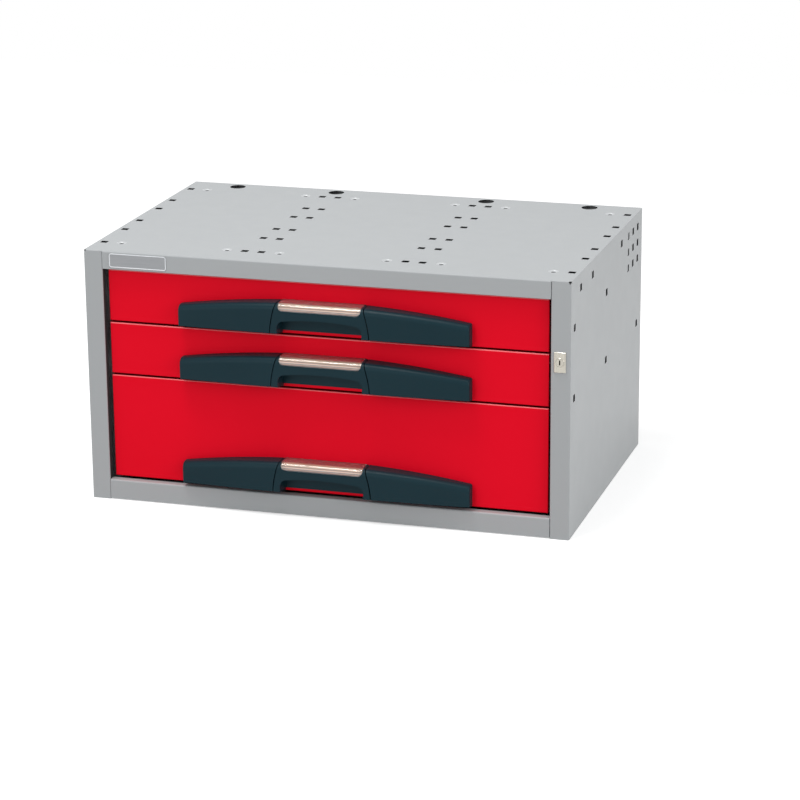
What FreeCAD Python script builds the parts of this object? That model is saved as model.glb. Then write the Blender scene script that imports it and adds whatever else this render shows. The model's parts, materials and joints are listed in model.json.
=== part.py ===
import FreeCAD, Part
import math
import os

from FreeCAD import Vector

# Modular steel drawer cabinet: a folded case with three drawers on ball-bearing runners,
# moulded bow handles and one lock that holds all three drawers.
# X runs to the right, Y to the back and Z up. The origin lies on the floor, in the middle
# of the whole footprint, handles included. All sizes are in millimetres.

# Case
case_width = 700.0
case_depth = 450.0
case_height = 365.0
case_sheet = 1.2
case_bend = 1.0
panel_gap = 0.3
floor_lift = 1.2

# Front frame of the case
stile_width = 27.5
stile_return = 10.5
top_rail_height = 25.5
bottom_rail_height = 28.3
rail_return = 12.0
rail_joint = 0.2
rear_flange = 18.0
side_flange = 18.0
corner_relief_radius = 1.6
corner_relief_inset = 0.8

# Square hook holes in the top
square_hole = 8.0
edge_column_inset = 10.9
pair_half_pitch = 12.15
outer_row_inset = 51.0
second_row_inset = 129.7
centre_row_offset = 38.9

# Square hook holes in the sides
rear_column_inset = 29.7
rear_column_pitch = 31.2
rear_grid_count = 3
top_grid_inset = 21.5
top_grid_pitch = 23.75
upper_hole_depths = (57.8, 128.7, 312.3)
front_hole_depth = 22.6
middle_hole_depth = 217.3
lower_hole_height = 197.0

# Joining holes of the top and the bottom
joining_edge_inset = 37.0
joining_third_offset = 38.7
joining_row_inset = 51.0
joining_hole_radius = 3.25

# Round cable holes at the rear of the top
cable_hole_radius = 11.8
cable_hole_inset = 19.0
cable_hole_outer = 274.8
cable_hole_inner = 117.1

# Back panel and the uprights that carry the runners
back_sheet = 1.0
back_edge_gap = 4.0
upright_sheet = 1.5
upright_face = 30.0
upright_flange = 12.0
front_upright_depth = 46.0
rear_upright_clearance = 50.0
upright_head_gap = 2.6

# Drawer fronts
front_recess = 10.0
front_side_gap = 4.5
front_gap = 2.6
lowest_front_gap = 3.5
shallow_front_height = 74.3
front_sheet = 1.0
front_fold_depth = 14.0
front_flange = 14.5
front_edge_radius = 1.8

# Drawer pans
pan_sheet = 1.0
pan_lift = 5.0
pan_drop = 12.3
pan_hem = 9.8
back_wall_drop = 7.0

# Runners: three telescoping members a side
runner_width = 12.7
runner_setback = 30.0
runner_rear_clearance = 20.0
runner_height = 36.0
runner_centre_lift = 26.0
outer_wall = 1.2
outer_arm = 9.6
outer_lip = 2.2
middle_wall = 1.0
middle_height = 24.4
middle_arm_start = 2.6
middle_arm_end = 10.4
middle_lip = 1.8
inner_wall = 1.0
inner_height = 13.0
inner_arm_start = 5.0

# Ball cages between the members
cage_length = 130.0
cage_gap = 0.3
cage_arm_wall = 1.0
outer_cage_reach = 8.0
inner_cage_reach = 9.0

# Moulded handle
handle_length = 421.0
handle_end_height = 32.0
handle_middle_height = 48.5
handle_lift = 1.0
handle_end_depth = 15.0
handle_middle_depth = 28.0
handle_end_radius = 4.5
shoulder_size = 8.0
underside_slope = 10.0
handle_wall = 2.4
seam_half_top = 61.5
seam_half_bottom = 71.0
seam_gap = 0.4
boss_width = 7.0
boss_offset = 150.0

# Finger pocket in the middle of the handle
pocket_half_width = 61.0
arch_side_height = 11.0
arch_corner_height = 22.5
arch_corner_inset = 7.0
arch_corner_bend = 0.7
arch_middle_height = 26.5
pocket_roof_height = 33.0
pocket_back_wall = 2.0
pocket_back_lift = 4.0
pocket_lip_depth = 23.9

# Label strip and its clear window, both straight
label_half_width = 59.5
label_corner_radius = 7.0
label_lower_height = 37.0
label_shoulder_radius = 10.5
label_top_drop = 0.5
window_wall = 1.4
strip_wall = 0.4
label_gap = 0.1

# Blank plate on the top rail
badge_width = 85.0
badge_height = 20.5
badge_thickness = 0.8
badge_inset = 38.0
badge_drop = 2.3
badge_corner_radius = 2.0

# Lock
lock_edge_inset = 14.5
lock_height = 252.5
lock_plate_width = 16.5
lock_plate_height = 28.5
lock_plate_thickness = 1.6
lock_plate_edge = 0.6
lock_body_width = 13.0
lock_body_height = 18.0
lock_body_fit = 0.15
lock_body_end = 23.0
lock_plug_radius = 5.2
lock_plug_fit = 0.05
lock_plug_proud = 0.6
lock_turn_degrees = 90.0
keyway_width = 1.8
keyway_height = 7.0
keyway_depth = 14.0
cam_thickness = 2.0
cam_gap = 0.3
cam_half_width = 3.6
cam_pin_radius = 2.0
cam_pin_proud = 0.2

# Lock bar, its fingers and the catches on the drawers
bar_travel = 8.0
bar_depth = 26.0
bar_thickness = 2.5
bar_inner_gap = 4.5
bar_web_gap = 2.3
bar_end_length = 20.0
slot_clearance = 0.3
finger_tip_gap = 2.2
finger_height = 6.0
finger_lift = 56.5
catch_height = 8.0
catch_lift = 46.0
catch_reach = 8.2
catch_depth = 31.0
catch_plate = 2.0
catch_foot = 1.5
catch_foot_length = 14.0
guide_height = 14.0
guide_gap = 0.3
guide_wall = 1.2
guide_heights = (120.0, 285.0)

# How far a cutting shape runs past what it cuts, and how close two places count as one
overrun = 1.0
same_place = 0.01

# Places worked out from the sizes above
half_width = case_width / 2.0
overhang = handle_middle_depth - front_recess
front_y = -(case_depth - overhang) / 2.0
back_y = front_y + case_depth
middle_y = front_y + case_depth / 2.0
web_inside = half_width - case_sheet
opening_half = half_width - stile_width
sheet_top = case_height - case_sheet
bottom_floor = floor_lift + case_sheet
bottom_rail_top = floor_lift + bottom_rail_height
top_rail_foot = case_height - top_rail_height
pan_half = opening_half - runner_width
front_half = opening_half - front_side_gap
runner_length = case_depth - runner_setback - runner_rear_clearance
pan_front = front_recess + front_fold_depth
pan_back = pan_front + runner_length
lock_x = half_width - lock_edge_inset
pin_offset = bar_travel / (2.0 * math.sin(math.radians(lock_turn_degrees / 2.0)))
face_y = front_y + front_recess

deep_front_height = (top_rail_foot - bottom_rail_top - lowest_front_gap
                     - 2.0 * shallow_front_height - 3.0 * front_gap)
drawer_names = ("bottom", "middle", "top")
front_heights = {
    "bottom": deep_front_height,
    "middle": shallow_front_height,
    "top": shallow_front_height,
}


def front_foot(name):
    """Height of the lower edge of a drawer's front."""
    foot = bottom_rail_top + lowest_front_gap
    for lower in drawer_names[:drawer_names.index(name)]:
        foot += front_heights[lower] + front_gap
    return foot


def block(x0, x1, y0, y1, z0, z1):
    """Plain block between two corners."""
    corner = Vector(min(x0, x1), min(y0, y1), min(z0, z1))
    return Part.makeBox(abs(x1 - x0), abs(y1 - y0), abs(z1 - z0), corner)


def rod(radius, start, end):
    """Round rod from one point to another."""
    axis = end.sub(start)
    return Part.makeCylinder(radius, axis.Length, start, axis)


def mirrored(shape):
    """The same piece for the other side of the cabinet."""
    return shape.mirror(Vector(0, 0, 0), Vector(1, 0, 0))


def joined(shapes):
    """One solid from pieces that touch or overlap."""
    return shapes[0].multiFuse(shapes[1:]).removeSplitter()


def arc(start, middle, end):
    """Arc edge through three points."""
    return Part.Arc(start, middle, end).toShape()


def line(start, end):
    """Straight edge."""
    return Part.LineSegment(start, end).toShape()


def unit(start, end):
    """Direction from one flat point to another."""
    length = math.hypot(end[0] - start[0], end[1] - start[1])
    return ((end[0] - start[0]) / length, (end[1] - start[1]) / length)


def folded_skin(path, sheet, bends, offset):
    """One skin of a folded section, left of the path: a point for a sharp fold, three for a round one."""
    way = unit(path[0], path[1])
    corners = [[(path[0][0] - way[1] * offset, path[0][1] + way[0] * offset)]]
    for index, bend in enumerate(bends, 1):
        corner = path[index]
        way_in = unit(path[index - 1], corner)
        way_out = unit(corner, path[index + 1])
        across = way_in[0] * way_out[1] - way_in[1] * way_out[0]
        along = way_in[0] * way_out[0] + way_in[1] * way_out[1]
        if bend == 0.0:
            share = offset / (1.0 + along)
            corners.append([(corner[0] - (way_in[1] + way_out[1]) * share,
                             corner[1] + (way_in[0] + way_out[0]) * share)])
            continue
        side = math.copysign(1.0, across)
        path_radius = bend + sheet if side > 0.0 else bend
        reach = path_radius * math.sqrt((1.0 - along) / (1.0 + along))
        radius = path_radius - side * offset
        centre = (corner[0] - way_in[0] * reach - way_in[1] * path_radius * side,
                  corner[1] - way_in[1] * reach + way_in[0] * path_radius * side)
        mean = unit((0.0, 0.0), (way_in[0] + way_out[0], way_in[1] + way_out[1]))
        corners.append([(centre[0] + way[1] * radius * side, centre[1] - way[0] * radius * side)
                        for way in (way_in, mean, way_out)])
    way = unit(path[-2], path[-1])
    corners.append([(path[-1][0] - way[1] * offset, path[-1][1] + way[0] * offset)])
    return corners


def folded_face(path, sheet, bends, place):
    """Section of a folded sheet: its outer skin follows the path, its thickness is on the left.

    bends holds the inner radius of each fold, zero for a sharp one.
    place turns two section numbers into a point in space.
    """
    skins = [folded_skin(path, sheet, bends, offset) for offset in (0.0, sheet)]
    edges = []
    for corners in skins:
        for before, after in zip(corners, corners[1:]):
            edges.append(line(place(*before[-1]), place(*after[0])))
            if len(after) > 1:
                edges.append(arc(*[place(*point) for point in after]))
    for end in (0, -1):
        edges.append(line(place(*skins[0][end][end]), place(*skins[1][end][end])))
    return Part.Face(Part.Wire(Part.__sortEdges__(edges)))


def folded_along_z(path, sheet, bends, z0, z1):
    """Folded sheet with its section in plan, from one height to another."""
    face = folded_face(path, sheet, bends, lambda x, y: Vector(x, y, z0))
    return face.extrude(Vector(0, 0, z1 - z0))


def folded_along_x(path, sheet, bends, x0, x1):
    """Folded sheet with its section seen from the side."""
    face = folded_face(path, sheet, bends, lambda y, z: Vector(x0, y, z))
    return face.extrude(Vector(x1 - x0, 0, 0))


def folded_along_y(path, sheet, bends, y0, y1):
    """Folded sheet with its section seen from the front."""
    face = folded_face(path, sheet, bends, lambda x, z: Vector(x, y0, z))
    return face.extrude(Vector(0, y1 - y0, 0))


def top_square_holes():
    """Cutters for the square holes of the top: edge columns and a pair at each third."""
    third = case_width / 6.0
    columns = (half_width - edge_column_inset, third + pair_half_pitch, third - pair_half_pitch)
    rows = (front_y + outer_row_inset, front_y + second_row_inset, middle_y - centre_row_offset,
            middle_y + centre_row_offset, back_y - second_row_inset, back_y - outer_row_inset)
    half = square_hole / 2.0
    depth = 4.0 * case_sheet
    cutters = []
    for x in columns:
        for side in (-1.0, 1.0):
            for y in rows:
                cutters.append(block(side * x - half, side * x + half, y - half, y + half,
                                     case_height - depth, case_height + depth))
    return cutters


def side_square_holes():
    """Cutters for the square holes of the right side."""
    grid_y = [back_y - rear_column_inset - index * rear_column_pitch for index in range(rear_grid_count)]
    grid_z = [case_height - top_grid_inset - index * top_grid_pitch for index in range(rear_grid_count)]
    places = [(y, z) for y in grid_y for z in grid_z]
    places += [(front_y + depth, grid_z[0]) for depth in upper_hole_depths]
    for depth in (front_hole_depth, middle_hole_depth):
        places += [(front_y + depth, grid_z[-1]), (front_y + depth, lower_hole_height)]
    places.append((grid_y[0], lower_hole_height))
    half = square_hole / 2.0
    reach = 4.0 * case_sheet
    return [block(half_width - reach, half_width + reach, y - half, y + half, z - half, z + half)
            for y, z in places]


def joining_places():
    """Plan places of the joining holes: one column near each edge, two round each third."""
    third = case_width / 6.0
    columns = (half_width - joining_edge_inset, third + joining_third_offset,
               third - joining_third_offset)
    rows = (front_y + joining_row_inset, back_y - joining_row_inset)
    return [(side * x, y) for x in columns for side in (-1.0, 1.0) for y in rows]


def corner_relief():
    """Small round notch where the three folds of an upper corner meet."""
    x = half_width - corner_relief_inset
    y = front_y + corner_relief_inset
    return rod(corner_relief_radius, Vector(x, y, case_height - 3.0 * case_sheet),
               Vector(x, y, case_height + case_sheet))


def side_panel(with_lock):
    """Right side of the case: web, front stile with its return, and flanges all round."""
    path = [(opening_half, front_y + stile_return), (opening_half, front_y), (half_width, front_y),
            (half_width, back_y), (half_width - rear_flange, back_y)]
    panel = folded_along_z(path, case_sheet, [case_bend, case_bend, 0.0], 0.0, sheet_top)
    flange_front = front_y + stile_return + panel_gap
    flange_back = back_y - case_sheet - panel_gap
    flange_edge = half_width - side_flange
    lower = block(flange_edge, web_inside, flange_front, flange_back, 0.0, case_sheet)
    upper = block(flange_edge, web_inside, flange_front, flange_back, sheet_top - case_sheet, sheet_top)
    panel = joined([panel, lower, upper])
    cutters = side_square_holes() + top_square_holes() + [corner_relief()]
    if with_lock:
        cutters.append(lock_body(lock_body_fit, -case_sheet, 2.0 * case_sheet))
    return panel.cut(cutters)


def top_panel():
    """Top of the case, folded down into the top rail in front and a flange behind."""
    rail_half = opening_half - rail_joint
    rear_half = half_width - rear_flange - panel_gap
    fold = case_sheet + case_bend
    front_path = [(middle_y, case_height), (front_y, case_height), (front_y, top_rail_foot),
                  (front_y + rail_return, top_rail_foot)]
    rear_path = [(back_y, case_height - rear_flange), (back_y, case_height), (middle_y, case_height)]
    front_lip = folded_along_x(front_path, case_sheet, [case_bend, 0.0], -rail_half, rail_half)
    rear_lip = folded_along_x(rear_path, case_sheet, [0.0], -rear_half, rear_half)
    plate = block(-half_width, half_width, front_y + fold, back_y - fold, sheet_top, case_height)
    parts = [front_lip, rear_lip, plate]
    for side in (-1.0, 1.0):
        parts.append(block(side * opening_half, side * half_width, front_y, front_y + fold,
                           sheet_top, case_height))
        parts.append(block(side * (rear_half + panel_gap), side * half_width, back_y - fold, back_y,
                           sheet_top, case_height))
    panel = joined(parts)
    relief = corner_relief()
    cutters = top_square_holes() + [relief, mirrored(relief)]
    cable_x = (-cable_hole_outer, -cable_hole_inner, cable_hole_inner, cable_hole_outer)
    round_holes = [(cable_hole_radius, x, back_y - cable_hole_inset) for x in cable_x]
    round_holes += [(joining_hole_radius, x, y) for x, y in joining_places()]
    for radius, x, y in round_holes:
        cutters.append(rod(radius, Vector(x, y, sheet_top - overrun), Vector(x, y, case_height + overrun)))
    return panel.cut(cutters)


def bottom_panel():
    """Bottom of the case, folded up into the bottom rail in front and a flange behind."""
    rail_half = opening_half - rail_joint
    rear_half = half_width - rear_flange - panel_gap
    sheet_half = web_inside - panel_gap
    front_path = [(front_y + rail_return, bottom_rail_top), (front_y, bottom_rail_top),
                  (front_y, floor_lift), (middle_y, floor_lift)]
    rear_path = [(middle_y, floor_lift), (back_y, floor_lift), (back_y, floor_lift + rear_flange)]
    front_lip = folded_along_x(front_path, case_sheet, [case_bend, 0.0], -rail_half, rail_half)
    rear_lip = folded_along_x(rear_path, case_sheet, [0.0], -rear_half, rear_half)
    plate = block(-sheet_half, sheet_half, front_y + stile_return + panel_gap,
                  back_y - case_sheet - panel_gap - case_bend, floor_lift, bottom_floor)
    panel = joined([front_lip, rear_lip, plate])
    cutters = [rod(joining_hole_radius, Vector(x, y, 0.0), Vector(x, y, bottom_floor + overrun))
               for x, y in joining_places() if abs(x) > case_width / 3.0]
    return panel.cut(cutters)


def back_panel():
    """Flat back sheet that lies against the rear flanges from inside."""
    half = web_inside - back_edge_gap
    outer = back_y - case_sheet
    return block(-half, half, outer - back_sheet, outer, bottom_floor + back_edge_gap,
                 sheet_top - case_sheet - back_edge_gap)


def right_uprights():
    """The two hat-section posts on the right that carry the runners."""
    rear_face = case_depth - rear_upright_clearance - upright_face
    posts = []
    for depth in (front_upright_depth, rear_face):
        y0 = front_y + depth
        y1 = y0 + upright_face
        path = [(web_inside, y0 - upright_flange), (web_inside, y0), (opening_half + upright_sheet, y0),
                (opening_half + upright_sheet, y1), (web_inside, y1), (web_inside, y1 + upright_flange)]
        posts.append(folded_along_z(path, upright_sheet, 4 * [0.0], bottom_floor,
                                    sheet_top - case_sheet - upright_head_gap))
    return Part.makeCompound(posts)


def badge_plate():
    """Blank plate on the left of the top rail, with small round corners."""
    x0 = -half_width + badge_inset
    z1 = case_height - badge_drop
    plate = block(x0, x0 + badge_width, front_y - badge_thickness, front_y, z1 - badge_height, z1)
    corners = [edge for edge in plate.Edges if abs(edge.tangentAt(0).y) > 0.9]
    return plate.makeFillet(badge_corner_radius, corners)


def runner_place(name):
    """Middle height of a drawer's runners."""
    return front_foot(name) + runner_centre_lift


def cabinet_runner(name):
    """Member fixed to the uprights."""
    return section_channel(0.0, outer_arm, runner_height, outer_wall, outer_lip, runner_place(name))


def middle_runner(name):
    """Member that floats between the other two."""
    return section_channel(middle_arm_start, middle_arm_end, middle_height, middle_wall, middle_lip,
                           runner_place(name))


def drawer_runner(name):
    """Member fixed to the side of the drawer."""
    return section_channel(runner_width, inner_arm_start, inner_height, inner_wall, 0.0, runner_place(name))


def section_channel(web, tip, height, wall, lip, z):
    """Channel for the right side, its web and arm tips given as distances from the upright."""
    half = height / 2.0
    x_web = opening_half - web
    x_tip = opening_half - tip
    path = [(x_tip, z + half), (x_web, z + half), (x_web, z - half), (x_tip, z - half)]
    if lip > 0.0:
        path = [(x_tip, z + half - lip)] + path + [(x_tip, z - half + lip)]
    if x_tip < x_web:
        path = path[::-1]
    return folded_along_y(path, wall, (len(path) - 2) * [0.0], front_y + runner_setback,
                          front_y + runner_setback + runner_length)


def cage_section(web_start, web_end, arm_middle, reach, z):
    """Cage for the right side: a web between the members and two arms."""
    middle = front_y + runner_setback + runner_length / 2.0
    y0 = middle - cage_length / 2.0
    y1 = middle + cage_length / 2.0
    arm_high = arm_middle + cage_arm_wall / 2.0
    arm_low = arm_middle - cage_arm_wall / 2.0
    x_far = opening_half - reach
    return joined([
        block(opening_half - web_end, opening_half - web_start, y0, y1, z - arm_high, z + arm_high),
        block(x_far, opening_half - web_start, y0, y1, z + arm_low, z + arm_high),
        block(x_far, opening_half - web_start, y0, y1, z - arm_high, z - arm_low),
    ])


def outer_cages(name):
    """The two cages between the cabinet members and the middle members."""
    arm_middle = (runner_height / 2.0 - outer_wall + middle_height / 2.0) / 2.0
    cage = cage_section(outer_wall + cage_gap, middle_arm_start - cage_gap, arm_middle,
                        outer_cage_reach, runner_place(name))
    return Part.makeCompound([mirrored(cage), cage])


def inner_cages(name):
    """The two cages between the middle members and the drawer members."""
    arm_middle = (middle_height / 2.0 - middle_wall + inner_height / 2.0) / 2.0
    cage = cage_section(middle_arm_start + middle_wall + cage_gap, inner_arm_start - cage_gap, arm_middle,
                        inner_cage_reach, runner_place(name))
    return Part.makeCompound([mirrored(cage), cage])


def drawer_pan(name):
    """Folded drawer body: floor, sides with turned-in hems, and end walls."""
    foot = front_foot(name)
    z0 = foot + pan_lift
    z1 = foot + front_heights[name] - pan_drop
    y0 = front_y + pan_front
    y1 = front_y + pan_back
    path = [(-pan_half + pan_hem, z1), (-pan_half, z1), (-pan_half, z0), (pan_half, z0),
            (pan_half, z1), (pan_half - pan_hem, z1)]
    tray = folded_along_y(path, pan_sheet, 4 * [0.0], y0, y1)
    inside = pan_half - pan_sheet / 2.0
    front_wall = block(-inside, inside, y0, y0 + pan_sheet, z0 + pan_sheet / 2.0, z1 - pan_sheet / 2.0)
    back_wall = block(-inside, inside, y1 - pan_sheet, y1, z0 + pan_sheet / 2.0, z1 - back_wall_drop)
    return joined([tray, front_wall, back_wall])


def lock_catch(name):
    """Angle on the right side of a drawer, which a finger of the lock bar drops in front of."""
    y = front_y + catch_depth
    z0 = front_foot(name) + catch_lift
    z1 = z0 + catch_height
    plate = block(pan_half, pan_half + catch_reach, y, y + catch_plate, z0, z1)
    foot = block(pan_half, pan_half + catch_foot, y, y + catch_foot_length, z0, z1)
    return joined([plate, foot])


def drawer_front(name):
    """Red front folded back on all four sides, then inwards to meet the pan."""
    foot = front_foot(name)
    head = foot + front_heights[name]
    outer = block(-front_half, front_half, face_y, face_y + front_fold_depth, foot, head)
    edges = [edge for edge in outer.Edges if abs(edge.CenterOfMass.y - face_y) < same_place]
    outer = outer.makeFillet(front_edge_radius, edges)
    hollow = block(-front_half + front_sheet, front_half - front_sheet, face_y + front_sheet,
                   face_y + front_fold_depth - front_sheet, foot + front_sheet, head - front_sheet)
    window = block(-front_half + front_flange, front_half - front_flange, face_y + front_sheet,
                   face_y + front_fold_depth + front_sheet, foot + front_flange, head - front_flange)
    return outer.cut([hollow, window])


def turned_body():
    """Handle body turned about a leaning axis, which bows it in plan and in front view at once.

    Its shoulder is bevelled in two steps that turn by equal angles.
    """
    rise = handle_middle_height - handle_end_height
    bow = handle_middle_depth - handle_end_depth
    sag = math.hypot(rise, bow)
    half = handle_length / 2.0
    radius = (half * half + sag * sag) / (2.0 * sag)
    front = -handle_middle_depth
    top = handle_middle_height
    centre = Vector(0, front + radius * bow / sag, top - radius * rise / sag)
    axis = Vector(0, rise / sag, bow / sag)
    low = -2.0 * handle_middle_height
    back = 2.0 * bow
    step = shoulder_size / (1.0 + math.sqrt(3.0))
    outline = [Vector(0, back, low), Vector(0, back, top), Vector(0, front + shoulder_size, top),
               Vector(0, front + step, top - step), Vector(0, front, top - shoulder_size),
               Vector(0, front, low)]
    face = Part.Face(Part.makePolygon(outline + outline[:1]))
    spread = math.degrees(math.asin(1.1 * half / radius))
    face.rotate(centre, axis, -spread)
    return face.revolve(centre, axis, 2.0 * spread)


def side_view_prism(inset, back, x0, x1):
    """Region over the sloping underside of the handle, between two places along its length."""
    reach = 2.0 * handle_middle_depth
    head = 2.0 * handle_middle_height
    rise = reach * math.tan(math.radians(underside_slope))
    points = [Vector(x0, back, inset), Vector(x0, back, head), Vector(x0, -reach, head),
              Vector(x0, -reach, inset + rise), Vector(x0, 0, inset)]
    if back == 0.0:
        points = points[1:]
    return Part.Face(Part.makePolygon(points + points[:1])).extrude(Vector(x1 - x0, 0, 0))


def end_prism():
    """Region inside the rounded end of the right cover, as seen from above."""
    half = handle_length / 2.0
    radius = handle_end_radius
    front = -handle_end_depth
    slope = math.atan(2.0 * (handle_middle_depth - handle_end_depth) / half)
    reach = radius * math.tan(math.radians(45.0) - slope / 2.0)
    centre = Vector(half - radius, front + reach, 0)
    outwards = Vector(half, front, 0).sub(centre).normalize()
    last = Vector(half - reach * math.cos(slope), front - reach * math.sin(slope), 0)
    start = Vector(half, front + reach, 0)
    rear = [Vector(0, overrun, 0), Vector(half, overrun, 0)]
    far = [Vector(half - handle_middle_depth, -2.0 * handle_middle_depth, 0),
           Vector(0, -2.0 * handle_middle_depth, 0)]
    wire = Part.Wire([
        line(rear[0], rear[1]),
        line(rear[1], start),
        arc(start, centre + outwards * radius, last),
        line(last, far[0]),
        line(far[0], far[1]),
        line(far[1], rear[0]),
    ])
    return Part.Face(wire).extrude(Vector(0, 0, 2.0 * handle_middle_height))


def seam_face(half_top, half_bottom):
    """Front view of the middle piece, its two sides leaning inwards towards the top."""
    low = -handle_lift
    high = handle_middle_height + handle_lift
    points = [Vector(-half_bottom, 0, low), Vector(half_bottom, 0, low), Vector(half_top, 0, high),
              Vector(-half_top, 0, high)]
    return Part.Face(Part.makePolygon(points + points[:1])).extrude(Vector(0, -2.0 * handle_middle_depth, 0))


def arch_prism():
    """Arched opening of the finger pocket seen from the front, open below."""
    y0 = -handle_end_depth
    half = pocket_half_width
    low = -handle_lift
    shoulder = half - arch_corner_inset
    bend_x = half - arch_corner_inset * (1.0 - arch_corner_bend)
    bend_z = arch_side_height + (arch_corner_height - arch_side_height) * arch_corner_bend
    wire = Part.Wire([
        line(Vector(-half, y0, low), Vector(half, y0, low)),
        line(Vector(half, y0, low), Vector(half, y0, arch_side_height)),
        arc(Vector(half, y0, arch_side_height), Vector(bend_x, y0, bend_z),
            Vector(shoulder, y0, arch_corner_height)),
        arc(Vector(shoulder, y0, arch_corner_height), Vector(0, y0, arch_middle_height),
            Vector(-shoulder, y0, arch_corner_height)),
        arc(Vector(-shoulder, y0, arch_corner_height), Vector(-bend_x, y0, bend_z),
            Vector(-half, y0, arch_side_height)),
        line(Vector(-half, y0, arch_side_height), Vector(-half, y0, low)),
    ])
    return Part.Face(wire).extrude(Vector(0, -2.0 * handle_middle_depth, 0))


def cover_cavity():
    """Hollow of the right cover, open towards the drawer, with flat walls that follow the bow."""
    near = seam_half_bottom + handle_wall
    far = handle_length / 2.0 - handle_wall
    half = handle_length / 2.0
    bow = handle_middle_depth - handle_end_depth
    rise = handle_middle_height - handle_end_height
    near_share = 1.0 - (near / half) ** 2
    front_near = handle_wall - handle_end_depth - bow * near_share
    front_far = handle_wall - handle_end_depth
    top_near = handle_end_height + rise * near_share - handle_wall
    top_far = handle_end_height - handle_wall
    reach = 2.0 * handle_middle_depth
    plan = [Vector(near, overrun, 0), Vector(near, front_near, 0),
            Vector(far - handle_end_radius, front_far, 0), Vector(far, front_far + handle_end_radius, 0),
            Vector(far, overrun, 0)]
    view = [Vector(near, overrun, 0), Vector(near, overrun, top_near), Vector(far, overrun, top_far),
            Vector(far, overrun, 0)]
    walls = Part.Face(Part.makePolygon(plan + plan[:1])).extrude(Vector(0, 0, handle_middle_height))
    roof = Part.Face(Part.makePolygon(view + view[:1])).extrude(Vector(0, -reach, 0))
    return walls.common(roof).common(side_view_prism(handle_wall, overrun, near, far))


def handle_cover(body):
    """Right end cover: a hollow shell with one square boss, open towards the drawer."""
    half = handle_length / 2.0
    shell = body.common(side_view_prism(0.0, 0.0, 0.0, half)).common(end_prism())
    shell = shell.cut(seam_face(seam_half_top + seam_gap, seam_half_bottom + seam_gap))
    cavity = cover_cavity()
    z = handle_end_height / 2.0
    boss = block(boss_offset - boss_width / 2.0, boss_offset + boss_width / 2.0, -handle_middle_depth, 0.0,
                 z - boss_width / 2.0, z + boss_width / 2.0)
    return shell.cut(cavity.cut(boss))


def label_bar(inset):
    """Straight stretch of the handle with the wide round shoulder that the label follows."""
    front = inset - handle_middle_depth + label_top_drop
    top = handle_middle_height - label_top_drop - inset
    radius = label_shoulder_radius - inset
    diagonal = radius * (1.0 - math.sqrt(0.5))
    x0 = -label_half_width
    wire = Part.Wire([
        line(Vector(x0, 0, 0), Vector(x0, 0, top)),
        line(Vector(x0, 0, top), Vector(x0, front + radius, top)),
        arc(Vector(x0, front + radius, top), Vector(x0, front + diagonal, top - diagonal),
            Vector(x0, front, top - radius)),
        line(Vector(x0, front, top - radius), Vector(x0, front, 0)),
        line(Vector(x0, front, 0), Vector(x0, 0, 0)),
    ])
    return Part.Face(wire).extrude(Vector(2.0 * label_half_width, 0, 0))


def label_zone(margin):
    """Front view of the label's place, with round lower corners, as a prism."""
    half = label_half_width - margin
    low = label_lower_height + margin
    high = 2.0 * handle_middle_height
    zone = block(-half, half, -2.0 * handle_middle_depth, 0.0, low, high)
    corners = [edge for edge in zone.Edges
               if abs(edge.CenterOfMass.z - low) < same_place
               and abs(abs(edge.CenterOfMass.x) - half) < same_place]
    return zone.makeFillet(label_corner_radius, corners)


def handle_bridge(body):
    """Middle piece: finger pocket behind an arched lip, and the seat of the label above it."""
    seat_inset = window_wall + strip_wall + 2.0 * label_gap
    half = handle_length / 2.0
    body = body.common(side_view_prism(0.0, 0.0, -half, half))
    body = body.common(seam_face(seam_half_top, seam_half_bottom))
    zone = label_zone(0.0)
    body = body.cut(zone.cut(label_bar(seat_inset)))
    pocket = block(-pocket_half_width, pocket_half_width, -pocket_lip_depth, -pocket_back_wall, 0.0,
                   pocket_roof_height)
    below = block(-pocket_half_width, pocket_half_width, -handle_end_depth - handle_lift, handle_lift,
                  -handle_lift, pocket_back_lift)
    return body.cut([pocket, arch_prism(), below])


def lock_body(margin, start, end):
    """Square stretch of the lock's body, between two depths behind the case front."""
    half_w = lock_body_width / 2.0 + margin
    half_h = lock_body_height / 2.0 + margin
    return block(lock_x - half_w, lock_x + half_w, front_y + start, front_y + end,
                 lock_height - half_h, lock_height + half_h)


def lock_housing():
    """Face plate and square body of the lock, bored for its plug."""
    z = lock_height
    half_w = lock_plate_width / 2.0
    half_h = lock_plate_height / 2.0
    plate = block(lock_x - half_w, lock_x + half_w, front_y - lock_plate_thickness, front_y,
                  z - half_h, z + half_h)
    front_edges = [edge for edge in plate.Edges
                   if abs(edge.CenterOfMass.y - front_y + lock_plate_thickness) < same_place]
    plate = plate.makeChamfer(lock_plate_edge, front_edges)
    body = lock_body(0.0, -lock_plate_thickness / 2.0, lock_body_end)
    bore = rod(lock_plug_radius + lock_plug_fit, Vector(lock_x, front_y - lock_body_end, z),
               Vector(lock_x, front_y + 2.0 * lock_body_end, z))
    return joined([plate, body]).cut(bore)


def lock_cylinder():
    """Plug that the key turns, with its keyway."""
    z = lock_height
    start = front_y - lock_plate_thickness - lock_plug_proud
    plug = rod(lock_plug_radius, Vector(lock_x, start, z),
               Vector(lock_x, front_y + lock_body_end + cam_gap, z))
    keyway = block(lock_x - keyway_width / 2.0, lock_x + keyway_width / 2.0, start - overrun,
                   start + keyway_depth, z - keyway_height / 2.0, z + keyway_height / 2.0)
    return plug.cut(keyway)


def pin_place(depth):
    """Centre of the cam's drive pin at rest, at a depth behind the case front."""
    angle = math.radians(lock_turn_degrees / 2.0)
    return Vector(lock_x + pin_offset * math.cos(angle), front_y + depth,
                  lock_height + pin_offset * math.sin(angle))


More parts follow.
